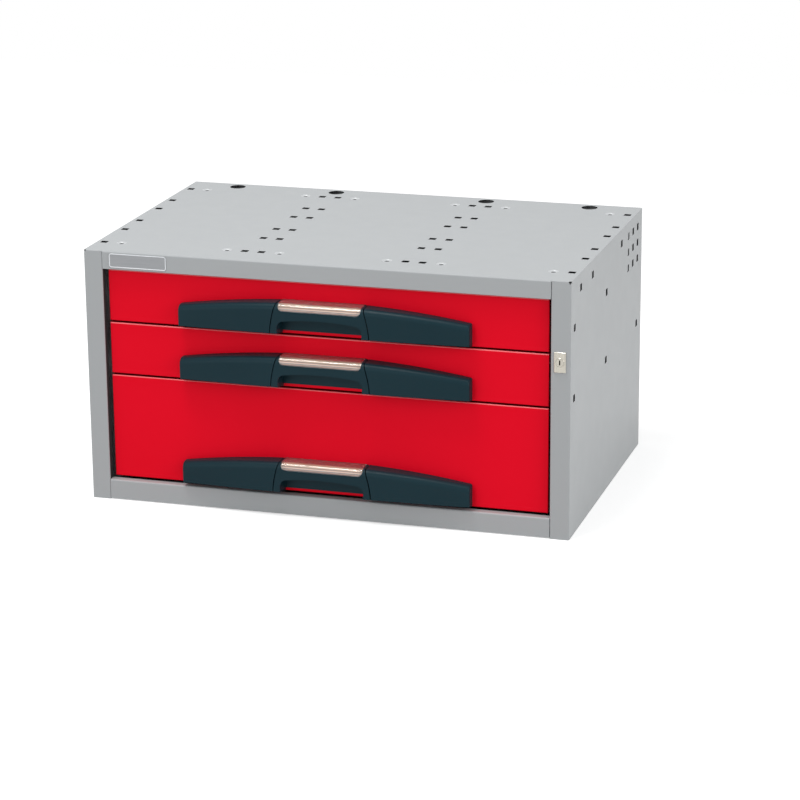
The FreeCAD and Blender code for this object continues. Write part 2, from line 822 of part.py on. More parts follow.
def lock_cam():
    """Lever on the end of the plug, with the pin that drives the bar."""
    start = lock_body_end + cam_gap
    end = start + cam_thickness
    reach = pin_offset + cam_half_width
    lever = block(lock_x - cam_half_width, lock_x + reach, front_y + start, front_y + end,
                  lock_height - cam_half_width, lock_height + cam_half_width)
    lever.rotate(Vector(lock_x, 0, lock_height), Vector(0, 1, 0), -lock_turn_degrees / 2.0)
    pin = rod(cam_pin_radius, pin_place(end), pin_place(bar_depth + bar_thickness + cam_pin_proud))
    return joined([lever, pin])


def lock_bar():
    """Bar behind the right stile, with one finger for each drawer and a slot for the cam's pin."""
    x0 = opening_half + bar_inner_gap
    x1 = web_inside - bar_web_gap
    y0 = front_y + bar_depth
    y1 = y0 + bar_thickness
    low = front_foot("bottom") + finger_lift
    high = front_foot("top") + finger_lift + finger_height + bar_end_length
    parts = [block(x0, x1, y0, y1, low, high)]
    for name in drawer_names:
        z = front_foot(name) + finger_lift
        parts.append(block(pan_half + finger_tip_gap, x0, y0, y1, z, z + finger_height))
    reach = cam_pin_radius + slot_clearance
    centre = pin_place(bar_depth)
    slot = block(centre.x - reach, lock_x + pin_offset + reach, y0 - overrun, y1 + overrun,
                 centre.z - reach, centre.z + reach)
    return joined(parts).cut(slot)


def bar_guides():
    """Two loops on the side panel that the bar slides in."""
    x0 = opening_half + bar_inner_gap - guide_gap
    x1 = web_inside - bar_web_gap + guide_gap
    y0 = front_y + bar_depth - guide_gap
    y1 = front_y + bar_depth + bar_thickness + guide_gap
    guides = []
    for z in guide_heights:
        outer = block(x0 - guide_wall, web_inside, y0 - guide_wall, y1 + guide_wall, z, z + guide_height)
        guides.append(outer.cut(block(x0, x1, y0, y1, z - overrun, z + guide_height + overrun)))
    return Part.makeCompound(guides)


def case_pieces():
    """Pieces that stand still."""
    right_posts = right_uprights()
    return {
        "left_side_panel": mirrored(side_panel(False)),
        "right_side_panel": side_panel(True),
        "top_panel": top_panel(),
        "bottom_panel": bottom_panel(),
        "back_panel": back_panel(),
        "uprights": Part.makeCompound([mirrored(right_posts), right_posts]),
        "badge_plate": badge_plate(),
        "lock_housing": lock_housing(),
        "lock_cylinder": lock_cylinder(),
        "lock_cam": lock_cam(),
        "lock_bar": lock_bar(),
        "lock_bar_guides": bar_guides(),
    }


def handle_pieces():
    """The moulded pieces of one handle, with the drawer's face and foot at zero."""
    body = turned_body()
    cover = handle_cover(body)
    outer = window_wall + label_gap
    zone = label_zone(label_gap)
    return {
        "handle_bridge": handle_bridge(body),
        "handle_left_cover": mirrored(cover),
        "handle_right_cover": cover,
        "label_window": label_bar(0.0).cut(label_bar(window_wall)).common(zone),
        "label_strip": label_bar(outer).cut(label_bar(outer + strip_wall)).common(zone),
    }


def drawer_pieces(name, handle):
    """Pieces of one drawer and its two runners."""
    pieces = {
        name + "_drawer_pan": drawer_pan(name),
        name + "_drawer_front": drawer_front(name),
        name + "_lock_catch": lock_catch(name),
        name + "_outer_ball_cages": outer_cages(name),
        name + "_inner_ball_cages": inner_cages(name),
    }
    for member, make in (("cabinet", cabinet_runner), ("middle", middle_runner), ("drawer", drawer_runner)):
        right = make(name)
        pieces[name + "_right_" + member + "_runner"] = right
        pieces[name + "_left_" + member + "_runner"] = mirrored(right)
    for part, shape in handle.items():
        piece = shape.copy()
        piece.translate(Vector(0, face_y, front_foot(name) + handle_lift))
        pieces[name + "_" + part] = piece
    return pieces


def main():
    """Writes one file for each piece."""
    os.makedirs("parts", exist_ok=True)
    pieces = case_pieces()
    handle = handle_pieces()
    for name in drawer_names:
        pieces.update(drawer_pieces(name, handle))
    for name, shape in pieces.items():
        shape.exportStep("parts/" + name + ".step")


main()
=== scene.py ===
import json
import math

import bmesh
import bpy
from mathutils import Matrix, Vector


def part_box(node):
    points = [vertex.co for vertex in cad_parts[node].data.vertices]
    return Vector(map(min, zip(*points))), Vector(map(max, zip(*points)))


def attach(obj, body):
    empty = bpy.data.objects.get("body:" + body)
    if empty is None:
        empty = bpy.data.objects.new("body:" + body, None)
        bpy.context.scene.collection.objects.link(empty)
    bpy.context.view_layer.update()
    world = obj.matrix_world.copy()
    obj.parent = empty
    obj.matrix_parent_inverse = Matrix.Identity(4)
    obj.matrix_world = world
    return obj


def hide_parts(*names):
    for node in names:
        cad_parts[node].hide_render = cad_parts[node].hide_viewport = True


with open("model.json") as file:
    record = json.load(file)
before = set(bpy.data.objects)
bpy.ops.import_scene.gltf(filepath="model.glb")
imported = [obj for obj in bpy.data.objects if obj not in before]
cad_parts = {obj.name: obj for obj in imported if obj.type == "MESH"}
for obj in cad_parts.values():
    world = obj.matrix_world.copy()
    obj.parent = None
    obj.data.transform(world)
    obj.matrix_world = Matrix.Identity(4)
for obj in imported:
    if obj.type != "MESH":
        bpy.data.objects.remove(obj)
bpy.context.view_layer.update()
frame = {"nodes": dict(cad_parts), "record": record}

# Modular drawer cabinet: paint, plastic, glass-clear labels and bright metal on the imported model.
drawerNames = ("bottom", "middle", "top")
print("frame loaded")


# Node helpers shared by the materials

def newMaterial(name):
    material = bpy.data.materials.new(name)
    material.use_nodes = True
    tree = material.node_tree
    shader = tree.nodes["Principled BSDF"]
    coordinates = tree.nodes.new("ShaderNodeTexCoord")
    return material, tree, shader, coordinates.outputs["Object"]


def noiseOn(tree, place, scale, detail=3.0, stretch=(1.0, 1.0, 1.0)):
    mapping = tree.nodes.new("ShaderNodeMapping")
    mapping.inputs["Scale"].default_value = stretch
    tree.links.new(place, mapping.inputs["Vector"])
    noise = tree.nodes.new("ShaderNodeTexNoise")
    noise.inputs["Scale"].default_value = scale
    noise.inputs["Detail"].default_value = detail
    tree.links.new(mapping.outputs["Vector"], noise.inputs["Vector"])
    return noise.outputs["Fac"]


def spread(tree, value, low, high, lowAt=0.35, highAt=0.65):
    ramp = tree.nodes.new("ShaderNodeMapRange")
    ramp.inputs["From Min"].default_value = lowAt
    ramp.inputs["From Max"].default_value = highAt
    ramp.inputs["To Min"].default_value = low
    ramp.inputs["To Max"].default_value = high
    tree.links.new(value, ramp.inputs["Value"])
    return ramp.outputs["Result"]


def blended(tree, factor, first, second):
    mix = tree.nodes.new("ShaderNodeMix")
    mix.data_type = "RGBA"
    mix.inputs[6].default_value = (*first, 1.0)
    mix.inputs[7].default_value = (*second, 1.0)
    tree.links.new(factor, mix.inputs["Factor"])
    return mix.outputs[2]


def bumped(tree, shader, height, strength, distance):
    bump = tree.nodes.new("ShaderNodeBump")
    bump.inputs["Strength"].default_value = strength
    bump.inputs["Distance"].default_value = distance
    tree.links.new(height, bump.inputs["Height"])
    tree.links.new(bump.outputs["Normal"], shader.inputs["Normal"])


# Powder coat: even colour with a faint drift, and the fine orange peel of baked powder

powderCoat = {
    "peelScale": 620.0,
    "peelStrength": 0.12,
    "peelDepth": 0.00012,
    "driftScale": 5.0,
    "roughLow": 0.385,
    "roughHigh": 0.425,
}


def makePowderCoat(name, colour, darker, gloss=0.3):
    material, tree, shader, place = newMaterial(name)
    drift = spread(tree, noiseOn(tree, place, powderCoat["driftScale"], 2.0), 0.0, 1.0, 0.3, 0.7)
    tree.links.new(blended(tree, drift, darker, colour), shader.inputs["Base Color"])
    cloud = noiseOn(tree, place, 38.0, 4.0)
    tree.links.new(spread(tree, cloud, powderCoat["roughLow"], powderCoat["roughHigh"]),
                   shader.inputs["Roughness"])
    peel = noiseOn(tree, place, powderCoat["peelScale"], 2.0)
    bumped(tree, shader, peel, powderCoat["peelStrength"], powderCoat["peelDepth"])
    shader.inputs["Specular IOR Level"].default_value = gloss
    return material


casePaint = makePowderCoat("casePaint", (0.455, 0.475, 0.486), (0.448, 0.468, 0.479))
drawerPaint = makePowderCoat("drawerPaint", (0.97, 0.0030, 0.022), (0.94, 0.0028, 0.020), 0.07)
# Lighter, glossier red for the upward-facing bends of the drawer fronts: a painted highlight.
bendHighlightPaint = makePowderCoat("bendHighlightPaint", (0.95, 0.110, 0.130), (0.92, 0.100, 0.120), 0.9)
# Dark red for the flat returns of the drawer fronts: painted shade in the gaps between drawers.
gapShadePaint = makePowderCoat("gapShadePaint", (0.26, 0.0018, 0.0060), (0.23, 0.0016, 0.0055), 0.03)
panPaint = makePowderCoat("panPaint", (0.335, 0.352, 0.362), (0.318, 0.336, 0.347))
# Dark grey for the inner faces of the stile returns: painted shade.
returnShadePaint = makePowderCoat("returnShadePaint", (0.045, 0.047, 0.049), (0.036, 0.038, 0.040), 0.1)
# Lighter, glossier grey for the joining dishes: a painted highlight.
dishHighlightPaint = makePowderCoat("dishHighlightPaint", (0.60, 0.62, 0.63), (0.57, 0.59, 0.60), 0.9)


# Moulded plastic: dark, with the fine grain of a textured mould

mouldedGrain = {
    "grainScale": 1500.0,
    "grainStrength": 0.35,
    "grainDepth": 0.00008,
    "gloss": 0.12,
    "dark": (0.0060, 0.0270, 0.0370),
    "light": (0.0085, 0.0320, 0.0430),
}


def makeMouldedPlastic():
    material, tree, shader, place = newMaterial("handlePlastic")
    flow = spread(tree, noiseOn(tree, place, 9.0, 3.0, (0.4, 1.0, 1.0)), 0.0, 1.0, 0.3, 0.7)
    tree.links.new(blended(tree, flow, mouldedGrain["dark"], mouldedGrain["light"]),
                   shader.inputs["Base Color"])
    tree.links.new(spread(tree, noiseOn(tree, place, 120.0, 2.0), 0.33, 0.42), shader.inputs["Roughness"])
    grain = noiseOn(tree, place, mouldedGrain["grainScale"], 2.0)
    bumped(tree, shader, grain, mouldedGrain["grainStrength"], mouldedGrain["grainDepth"])
    shader.inputs["Specular IOR Level"].default_value = mouldedGrain["gloss"]
    return material


handlePlastic = makeMouldedPlastic()


# Clear label window and the copper-pink strip behind it

def makeLabelWindow():
    material, tree, shader, place = newMaterial("labelWindow")
    shader.inputs["Base Color"].default_value = (0.95, 0.96, 0.97, 1.0)
    shader.inputs["Transmission Weight"].default_value = 0.95
    shader.inputs["IOR"].default_value = 1.46
    tree.links.new(spread(tree, noiseOn(tree, place, 40.0, 2.0), 0.03, 0.08), shader.inputs["Roughness"])
    return material


labelStripLook = {
    "line": (0.060, 0.014, 0.010),
    "copper": (0.360, 0.155, 0.065),
    "pink": (0.600, 0.325, 0.220),
    "cream": (0.740, 0.520, 0.350),
    "stops": ((0.000, "line"), (0.150, "line"), (0.165, "pink"), (0.205, "pink"), (0.220, "line"),
              (0.262, "line"), (0.280, "cream"), (0.385, "pink"), (0.400, "line"), (0.422, "line"),
              (0.440, "cream"), (0.600, "cream"), (0.720, "pink"), (0.780, "copper"), (0.860, "copper"),
              (0.885, "line")),
}


def makeLabelStrip():
    material, tree, shader, place = newMaterial("labelStrip")
    layout = tree.nodes.new("ShaderNodeUVMap")
    layout.uv_map = "labelMap"
    across = tree.nodes.new("ShaderNodeSeparateXYZ")
    tree.links.new(layout.outputs["UV"], across.inputs["Vector"])
    bands = tree.nodes.new("ShaderNodeValToRGB")
    stops = labelStripLook["stops"]
    ramp = bands.color_ramp
    while len(ramp.elements) < len(stops):
        ramp.elements.new(0.5)
    for element, (position, tint) in zip(ramp.elements, stops):
        element.position = position
        element.color = (*labelStripLook[tint], 1.0)
    tree.links.new(across.outputs["Y"], bands.inputs["Fac"])
    fleck = spread(tree, noiseOn(tree, place, 55.0, 4.0, (0.25, 1.0, 1.6)), 0.0, 0.22, 0.35, 0.65)
    mix = tree.nodes.new("ShaderNodeMix")
    mix.data_type = "RGBA"
    tree.links.new(fleck, mix.inputs["Factor"])
    tree.links.new(bands.outputs["Color"], mix.inputs[6])
    mix.inputs[7].default_value = (*labelStripLook["copper"], 1.0)
    tree.links.new(mix.outputs[2], shader.inputs["Base Color"])
    shader.inputs["Metallic"].default_value = 0.10
    tree.links.new(spread(tree, noiseOn(tree, place, 90.0, 2.0), 0.28, 0.42), shader.inputs["Roughness"])
    return material


labelWindow = makeLabelWindow()
labelStrip = makeLabelStrip()


# Bare metal: rolling or brushing marks run along one direction

def makeBrushedMetal(name, colour, darker, stretch, roughLow, roughHigh, markStrength=0.12):
    material, tree, shader, place = newMaterial(name)
    marks = noiseOn(tree, place, 420.0, 3.0, stretch)
    tree.links.new(blended(tree, spread(tree, marks, 0.0, 1.0), darker, colour), shader.inputs["Base Color"])
    tree.links.new(spread(tree, marks, roughLow, roughHigh), shader.inputs["Roughness"])
    shader.inputs["Metallic"].default_value = 1.0
    bumped(tree, shader, marks, markStrength, 0.00004)
    return material


runnerSteel = makeBrushedMetal("runnerSteel", (0.62, 0.63, 0.64), (0.52, 0.53, 0.545), (1.0, 0.04, 1.0), 0.26, 0.36)
cageSteel = makeBrushedMetal("cageSteel", (0.55, 0.54, 0.50), (0.46, 0.45, 0.42), (1.0, 0.08, 1.0), 0.30, 0.42)
lockMetal = makeBrushedMetal("lockMetal", (0.50, 0.48, 0.42), (0.42, 0.40, 0.35), (1.0, 1.0, 0.06), 0.24, 0.34, 0.06)
badgeMetal = makeBrushedMetal("badgeMetal", (0.262, 0.270, 0.280), (0.240, 0.248, 0.258), (0.05, 1.0, 1.0),
                              0.38, 0.48, 0.06)
badgeRimMetal = makeBrushedMetal("badgeRimMetal", (0.58, 0.60, 0.62), (0.52, 0.54, 0.56), (0.05, 1.0, 1.0),
                                 0.30, 0.40, 0.06)


# Near-black paint for hole walls and the relief notches: painted shade, so the holes read dark; the mottle between
# two near-blacks is random.
def makeHoleShadePaint():
    material, tree, shader, place = newMaterial("holeShadePaint")
    shadeMottle = spread(tree, noiseOn(tree, place, 300.0, 3.0), 0.0, 1.0)
    tree.links.new(blended(tree, shadeMottle, (0.003, 0.003, 0.003), (0.006, 0.006, 0.007)), shader.inputs["Base Color"])
    tree.links.new(spread(tree, shadeMottle, 0.65, 0.85, 0.0, 1.0), shader.inputs["Roughness"])
    shader.inputs["Specular IOR Level"].default_value = 0.1
    return material


holeShadePaint = makeHoleShadePaint()
print("materials made")


# Every CAD node takes the finish of its material slot

finishBySlot = {
    "case_paint": casePaint,
    "drawer_paint": drawerPaint,
    "pan_paint": panPaint,
    "handle_plastic": handlePlastic,
    "label_window": labelWindow,
    "label_strip": labelStrip,
    "runner_steel": runnerSteel,
    "cage_steel": cageSteel,
    "lock_metal": lockMetal,
    "badge_plate": badgeMetal,
}
for row in frame["record"]["subparts"]:
    node = frame["nodes"][row["node"]]
    node.data.materials.clear()
    node.data.materials.append(finishBySlot[row["material_slot"]])
print("nodes painted")


# Sheet metal of the case, and the dishes of its joining holes

panelShape = {
    "smoothAngle": 32.0,
    "margin": 0.0001,
    "sheet": 0.0012,
    "largestHole": 0.030,
    "hookHoleGrowth": 1.25,
    "stileDepth": 0.030,
    "reliefRadius": 0.0033,
    "joiningEdgeInset": 0.037,
    "joiningThirdOffset": 0.0387,
    "joiningRowInset": 0.051,
}

dishShape = {
    "radius": 0.0072,
    "floorRadius": 0.0046,
    "holeRadius": 0.0033,
    "lip": 0.0007,
    "drop": 0.0015,
    "steps": 32,
}


# Shared steps of the pieces made here

def shareOf(vert):
    return (vert.co.x + 1.0) / 2.0, (vert.co.y + 1.0) / 2.0


def turnFacesOutwards(bm):
    bmesh.ops.remove_doubles(bm, verts=bm.verts, dist=1e-6)
    bmesh.ops.recalc_face_normals(bm, faces=bm.faces)


def placed(bm, name, material, body, nodes):
    mesh = bpy.data.meshes.new(name)
    bm.to_mesh(mesh)
    bm.free()
    mesh.shade_smooth()
    mesh.materials.append(material)
    piece = bpy.data.objects.new(name, mesh)
    bpy.context.collection.objects.link(piece)
    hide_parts(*nodes)
    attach(piece, body)
    return piece


def thickened(piece, thickness):
    wall = piece.modifiers.new("wall", "SOLIDIFY")
    wall.thickness = thickness
    wall.offset = -1.0


def softened(piece, width, segments=2, angle=40.0):
    edge = piece.modifiers.new("softEdges", "BEVEL")
    edge.width = width
    edge.segments = segments
    edge.limit_method = "ANGLE"
    edge.angle_limit = math.radians(angle)
    edge.profile = 0.5
    evened = piece.modifiers.new("evenShading", "WEIGHTED_NORMAL")
    evened.keep_sharp = True


def cutAway(piece, cutters):
    for cutter in cutters:
        cut = piece.modifiers.new("cut", "BOOLEAN")
        cut.operation = "DIFFERENCE"
        cut.solver = "EXACT"
        cut.object = cutter
    bpy.context.view_layer.update()
    graph = bpy.context.evaluated_depsgraph_get()
    piece.data = bpy.data.meshes.new_from_object(piece.evaluated_get(graph))
    piece.modifiers.clear()
    for cutter in cutters:
        bpy.data.objects.remove(cutter)


def smoothed(mesh):
    mesh.shade_smooth()
    mesh.set_sharp_from_angle(angle=math.radians(panelShape["smoothAngle"]))


def copiedFrom(node):
    bm = bmesh.new()
    bm.from_mesh(frame["nodes"][node].data)
    bmesh.ops.remove_doubles(bm, verts=bm.verts, dist=1e-6)
    return bm


def spunRing(bm, section, centre, axis, steps):
    verts = [bm.verts.new(point) for point in section]
    edges = [bm.edges.new((vert, verts[index - 1])) for index, vert in enumerate(verts)]
    bmesh.ops.spin(bm, geom=verts + edges, cent=centre, axis=axis, angle=math.radians(360.0), steps=steps,
                   use_merge=True)


def ridingPiece(bm, name, material, body):
    turnFacesOutwards(bm)
    mesh = bpy.data.meshes.new(name)
    bm.to_mesh(mesh)
    bm.free()
    smoothed(mesh)
    mesh.materials.append(material)
    piece = bpy.data.objects.new(name, mesh)
    bpy.context.collection.objects.link(piece)
    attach(piece, body)
    return piece


def toolFrom(bm, name):
    turnFacesOutwards(bm)
    mesh = bpy.data.meshes.new(name)
    bm.to_mesh(mesh)
    bm.free()
    tool = bpy.data.objects.new(name, mesh)
    bpy.context.collection.objects.link(tool)
    return tool


def blockTool(low, high):
    bm = bmesh.new()
    bmesh.ops.create_cube(bm, size=1.0)
    bmesh.ops.scale(bm, vec=Vector(high) - Vector(low), verts=bm.verts)
    bmesh.ops.translate(bm, vec=(Vector(high) + Vector(low)) / 2.0, verts=bm.verts)
    return toolFrom(bm, "blockTool")


def outlineTool(points, along):
    bm = bmesh.new()
    face = bm.faces.new([bm.verts.new(point) for point in points])
    pulled = bmesh.ops.extrude_face_region(bm, geom=[face])
    moved = [item for item in pulled["geom"] if isinstance(item, bmesh.types.BMVert)]
    bmesh.ops.translate(bm, vec=along, verts=moved)
    return toolFrom(bm, "outlineTool")


# Handle: sections are laid out from the drawer's face (y = 0) and the handle's foot (z = 0)

handleShape = {
    "halfLength": 0.2105,
    "endDepth": 0.015,
    "middleDepth": 0.028,
    "endHeight": 0.032,
    "middleHeight": 0.0485,
    "shoulderRadius": 0.0092,
    "endCorner": 0.0030,
    "endTopRound": 0.0014,
    "undersideSlope": 10.0,
    "wall": 0.0028,
    "seamTop": 0.0615,
    "seamBottom": 0.0710,
    "seamBulge": 0.0022,
    "seamGap": 0.0014,
    "softEdge": 0.0004,
    "bottomSteps": 2,
    "frontSteps": 5,
    "shoulderSteps": 10,
    "topSteps": 3,
    "lengthSteps": 20,
    "cornerSteps": 6,
}


def bowAt(x):
    rise = handleShape["middleHeight"] - handleShape["endHeight"]
    bow = handleShape["middleDepth"] - handleShape["endDepth"]
    sag = math.hypot(rise, bow)
    radius = (handleShape["halfLength"] ** 2 + sag ** 2) / (2.0 * sag)
    share = (radius - math.sqrt(radius ** 2 - x ** 2)) / sag
    return handleShape["middleDepth"] - bow * share, handleShape["middleHeight"] - rise * share


def seamAt(height):
    share = min(max(height / handleShape["middleHeight"], 0.0), 1.0)
    straight = handleShape["seamBottom"] + (handleShape["seamTop"] - handleShape["seamBottom"]) * share
    return straight + 4.0 * handleShape["seamBulge"] * share * (1.0 - share)


def sectionSteps():
    return (handleShape["bottomSteps"] + handleShape["frontSteps"] + handleShape["shoulderSteps"]
            + handleShape["topSteps"])


def sectionAt(step, depth, height):
    radius = handleShape["shoulderRadius"]
    low = depth * math.tan(math.radians(handleShape["undersideSlope"]))
    frontStart = handleShape["bottomSteps"]
    bendStart = frontStart + handleShape["frontSteps"]
    topStart = bendStart + handleShape["shoulderSteps"]
    if step <= frontStart:
        return -depth * step / frontStart, low * step / frontStart
    if step <= bendStart:
        return -depth, low + (height - radius - low) * (step - frontStart) / handleShape["frontSteps"]
    if step <= topStart:
        angle = math.radians(90.0) * (step - bendStart) / handleShape["shoulderSteps"]
        return -depth + radius * (1.0 - math.cos(angle)), height - radius * (1.0 - math.sin(angle))
    return (radius - depth) * (1.0 - (step - topStart) / handleShape["topSteps"]), height


def column(bm, side):
    ends = [vert for vert in bm.verts if abs(vert.co.x - side) < 1e-6]
    return sorted(ends, key=lambda vert: vert.co.y)


def makeHandleCover(drawerName, side, foot, face):
    rings = handleShape["lengthSteps"] + handleShape["cornerSteps"]
    bm = bmesh.new()
    bmesh.ops.create_grid(bm, x_segments=rings, y_segments=sectionSteps(), size=1.0)
    nearEnd = column(bm, -1.0)
    farEnd = column(bm, 1.0)
    corner = handleShape["endCorner"]
    far = handleShape["halfLength"] - corner
    for vert in bm.verts:
        along, around = shareOf(vert)
        ring = along * rings
        step = around * sectionSteps()
        turn = max(0.0, ring - handleShape["lengthSteps"]) / handleShape["cornerSteps"] * math.radians(90.0)
        main = min(1.0, ring / handleShape["lengthSteps"])
        x = handleShape["seamTop"] + (far - handleShape["seamTop"]) * main
        for attempt in range(3):
            depth, height = bowAt(x + corner * math.sin(turn))
            depth -= corner * (1.0 - math.cos(turn))
            height -= handleShape["endTopRound"] * (1.0 - math.cos(turn))
            y, z = sectionAt(step, depth, height)
            near = seamAt(z) + handleShape["seamGap"]
            x = near + (far - near) * main
        vert.co = (side * (x + corner * math.sin(turn)), y, z)
    bm.faces.new(nearEnd)
    bm.faces.new(farEnd)
    bmesh.ops.translate(bm, vec=(0.0, face, foot), verts=bm.verts)
    turnFacesOutwards(bm)
    word = "left" if side < 0.0 else "right"
    piece = placed(bm, drawerName + "MouldedCover" + word.capitalize(), handlePlastic, drawerName + "_drawer",
                   [drawerName + "_handle_" + word + "_cover"])
    thickened(piece, handleShape["wall"])
    softened(piece, handleShape["softEdge"])
    return piece


# Middle of the handle: an arched lip with a finger pocket behind it, and the seat of the label above

bridgeShape = {
    "lengthSteps": 28,
    "pocketHalf": 0.0610,
    "lipDepth": 0.0239,
    "backWall": 0.0020,
    "backLift": 0.0040,
    "pocketRoof": 0.0330,
    "archSide": 0.0110,
    "archCorner": 0.0225,
    "archCornerInset": 0.0070,
    "archCornerBend": 0.7,
    "archMiddle": 0.0265,
    "archSoftness": 0.0013,
    "seatInset": 0.0020,
}

labelShape = {
    "half": 0.0595,
    "cornerRadius": 0.0070,
    "low": 0.0370,
    "shoulderRadius": 0.0105,
    "topDrop": 0.0005,
    "windowWall": 0.0014,
    "stripWall": 0.0004,
    "gap": 0.0001,
    "lengthSteps": 14,
    "edgeSteps": 3,
    "shoulderSteps": 20,
    "topSteps": 3,
    "softEdge": 0.00035,
}


def bentThrough(first, middle, last, steps):
    ax, az = first
    bx, bz = middle
    cx, cz = last
    d = 2.0 * (ax * (bz - cz) + bx * (cz - az) + cx * (az - bz))
    x = ((ax * ax + az * az) * (bz - cz) + (bx * bx + bz * bz) * (cz - az) + (cx * cx + cz * cz) * (az - bz)) / d
    z = ((ax * ax + az * az) * (cx - bx) + (bx * bx + bz * bz) * (ax - cx) + (cx * cx + cz * cz) * (bx - ax)) / d
    radius = math.hypot(ax - x, az - z)
    start = math.atan2(az - z, ax - x)
    sweep = math.atan2(cz - z, cx - x) - start
    sweep = math.atan2(math.sin(sweep), math.cos(sweep))
    return [(x + radius * math.cos(start + sweep * step / steps),
             z + radius * math.sin(start + sweep * step / steps)) for step in range(steps + 1)]


def archTool(foot, face):
    half = bridgeShape["pocketHalf"]
    side = bridgeShape["archSide"]
    corner = bridgeShape["archCorner"]
    inset = bridgeShape["archCornerInset"]
    bend = bridgeShape["archCornerBend"]
    shoulder = half - inset
    right = bentThrough((half, side), (half - inset * (1.0 - bend), side + (corner - side) * bend),
                        (shoulder, corner), 8)
    crown = bentThrough((shoulder, corner), (0.0, bridgeShape["archMiddle"]), (-shoulder, corner), 16)
    outline = [(half, -0.001)] + right + crown[1:-1] + [(-x, z) for x, z in reversed(right)] + [(-half, -0.001)]
    start = face - handleShape["endDepth"]
    return outlineTool([(x, start, foot + z) for x, z in outline], (0.0, -0.04, 0.0))


def labelHalfAt(z, inset):
    radius = labelShape["cornerRadius"]
    low = labelShape["low"] + inset
    half = labelShape["half"] - inset
    below = min(radius, max(0.0, radius - (z - low)))
    return half - radius + math.sqrt(radius * radius - below * below)


def labelZoneTool(foot, face):
    radius = labelShape["cornerRadius"]
    low = labelShape["low"]
    half = labelShape["half"]
    turn = [math.radians(90.0) * step / 8 for step in range(9)]
    corner = [(half - radius + radius * math.sin(angle), low + radius - radius * math.cos(angle)) for angle in turn]
    outline = [(-x, z) for x, z in reversed(corner)] + corner + [(half, 0.09), (-half, 0.09)]
    return outlineTool([(x, face + 0.01, foot + z) for x, z in outline], (0.0, -0.06, 0.0))


def seatTool(foot, face):
    inset = bridgeShape["seatInset"]
    front = labelShape["topDrop"] + inset - handleShape["middleDepth"]
    top = handleShape["middleHeight"] - labelShape["topDrop"] - inset
    radius = labelShape["shoulderRadius"] - inset
    turn = [math.radians(90.0) * step / 14 for step in range(15)]
    bend = [(front + radius * (1.0 - math.cos(angle)), top - radius * (1.0 - math.sin(angle))) for angle in turn]
    outline = [(0.02, 0.0), (front, 0.0)] + bend + [(0.02, top)]
    return outlineTool([(-0.08, face + y, foot + z) for y, z in outline], (0.16, 0.0, 0.0))


def makeHandleBridge(drawerName, foot, face):
    rings = bridgeShape["lengthSteps"]
    bm = bmesh.new()
    bmesh.ops.create_grid(bm, x_segments=rings, y_segments=sectionSteps(), size=1.0)
    leftEnd = column(bm, -1.0)
    rightEnd = column(bm, 1.0)
    lowRow = sorted([vert for vert in bm.verts if abs(vert.co.y + 1.0) < 1e-6], key=lambda vert: vert.co.x)
    highRow = sorted([vert for vert in bm.verts if abs(vert.co.y - 1.0) < 1e-6], key=lambda vert: vert.co.x)
    for vert in bm.verts:
        along, around = shareOf(vert)
        side = 2.0 * along - 1.0
        x = side * handleShape["seamTop"]
        for attempt in range(3):
            depth, height = bowAt(x)
            y, z = sectionAt(around * sectionSteps(), depth, height)
            x = side * seamAt(z)
        vert.co = (x, face + y, foot + z)
    bm.faces.new(leftEnd)
    bm.faces.new(rightEnd)
    bm.faces.new(lowRow + highRow[::-1])
    turnFacesOutwards(bm)
    bridge = placed(bm, drawerName + "MouldedBridge", handlePlastic, drawerName + "_drawer",
                    [drawerName + "_handle_bridge"])
    zone = labelZoneTool(foot, face)
    cutAway(zone, [seatTool(foot, face)])
    half = bridgeShape["pocketHalf"]
    pocket = blockTool((-half, face - bridgeShape["lipDepth"], foot - 0.002),
                       (half, face - bridgeShape["backWall"], foot + bridgeShape["pocketRoof"]))
    below = blockTool((-half, face - handleShape["endDepth"] - 0.001, foot - 0.003),
                      (half, face + 0.001, foot + bridgeShape["backLift"]))
    cutAway(bridge, [zone, pocket, archTool(foot, face), below])
    softened(bridge, handleShape["softEdge"])
    return bridge


def makeLabelPiece(name, material, drawerName, node, inset, wall, foot, face):
    rows = labelShape["edgeSteps"] + labelShape["shoulderSteps"] + labelShape["topSteps"]
    front = handleShape["middleDepth"] - labelShape["topDrop"] - inset
    top = handleShape["middleHeight"] - labelShape["topDrop"] - inset
    radius = labelShape["shoulderRadius"] - inset
    low = labelShape["low"] + labelShape["gap"] + inset * 0.15
    bm = bmesh.new()
    bmesh.ops.create_grid(bm, x_segments=labelShape["lengthSteps"], y_segments=rows, size=1.0)
    layout = bm.loops.layers.uv.new("labelMap")
    for flat in bm.faces:
        for loop in flat.loops:
            loop[layout].uv = shareOf(loop.vert)
    bendStart = labelShape["edgeSteps"]
    topStart = bendStart + labelShape["shoulderSteps"]
    for vert in bm.verts:
        along, around = shareOf(vert)
        step = around * rows
        if step <= bendStart:
            y = -front
            z = low + (top - radius - low) * step / bendStart
        elif step <= topStart:
            angle = math.radians(90.0) * (step - bendStart) / labelShape["shoulderSteps"]
            y = -front + radius * (1.0 - math.cos(angle))
            z = top - radius * (1.0 - math.sin(angle))
        else:
            y = (radius - front) * (1.0 - (step - topStart) / labelShape["topSteps"])
            z = top
        half = labelHalfAt(z, labelShape["gap"] + inset * 0.15)
        vert.co = ((2.0 * along - 1.0) * half, face + y, foot + z)
    turnFacesOutwards(bm)
    piece = placed(bm, drawerName + name, material, drawerName + "_drawer", [drawerName + node])
    thickened(piece, wall)
    return piece


